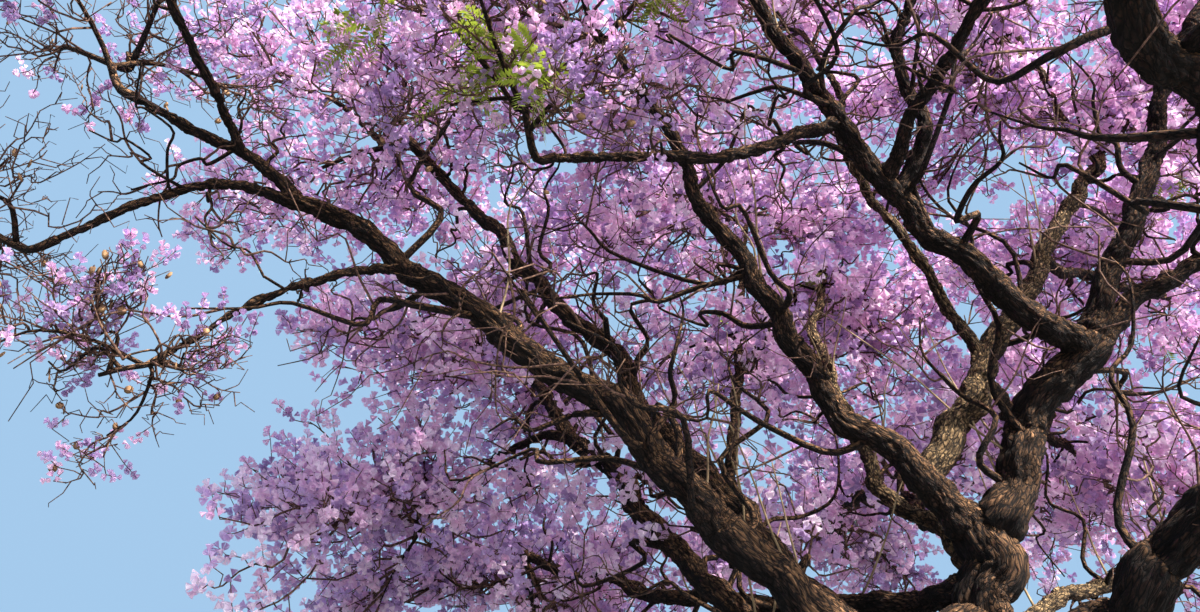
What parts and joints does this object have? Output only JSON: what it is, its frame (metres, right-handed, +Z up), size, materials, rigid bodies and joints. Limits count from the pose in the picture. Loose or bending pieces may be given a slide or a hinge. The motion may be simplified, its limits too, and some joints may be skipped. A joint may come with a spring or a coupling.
{
  "type": "jacaranda tree",
  "caption": "Broad spreading jacaranda tree in full lilac bloom: a short flared trunk forking low into long crooked boughs, each ending in an airy mass of blossom.",
  "frame": {"origin": "the middle of the flat cut under the trunk, at ground level", "axes": "+Z up, the long left bough runs towards -X, and the side seen in the picture faces -Y"},
  "size_m": [16.2268, 17.038, 11.582],
  "materials": {
    "bark": "deeply furrowed dry bark",
    "blossom": "soft petals"
  },
  "bodies": {
    "root": {"trunk": "bark", "right_stem": "bark", "left_bough": "bark", "left_bough_rising_fork": "bark", "left_bough_drooping_fork": "bark", "left_bough_low_branch": "bark", "left_bough_front_branch": "bark", "second_bough": "bark", "upright_branch": "bark", "back_left_bough": "bark", "far_left_branch": "bark", "low_back_bough": "bark", "middle_bough": "bark", "inner_bough": "bark", "right_bough": "bark", "arching_bough": "bark", "zigzag_branch": "bark", "near_left_branch": "bark", "near_upper_branch": "bark", "right_rising_bough": "bark", "right_spreading_bough": "bark", "pale_bough": "bark", "pale_bough_side_branch": "bark", "heart_branch": "bark", "low_right_branch": "bark", "near_bough": "bark", "near_bough_arch": "bark", "near_right_bough": "bark", "near_front_branch": "bark", "back_bough": "bark", "back_right_bough": "bark", "pale_bough_back_branch": "bark", "blossom_left_tip": "blossom", "blossom_left_high": "blossom", "blossom_left_hanging": "blossom", "blossom_near_left_high": "blossom", "blossom_left_crest": "blossom", "blossom_heart_back": "blossom", "blossom_back_left_high": "blossom", "blossom_far_left": "blossom", "blossom_back_left_low": "blossom", "blossom_middle": "blossom", "blossom_inner": "blossom", "blossom_arch_tip": "blossom", "blossom_zigzag_tip": "blossom", "blossom_near_left": "blossom", "blossom_near_high": "blossom", "blossom_right_high": "blossom", "blossom_right": "blossom", "blossom_pale_bough_tip": "blossom", "blossom_top_right": "blossom", "blossom_top": "blossom", "blossom_low_right": "blossom", "blossom_near_right": "blossom", "blossom_near_arch": "blossom", "blossom_near_front": "blossom", "blossom_back": "blossom", "blossom_back_right": "blossom", "blossom_right_back": "blossom"}
  },
  "joints": []
}
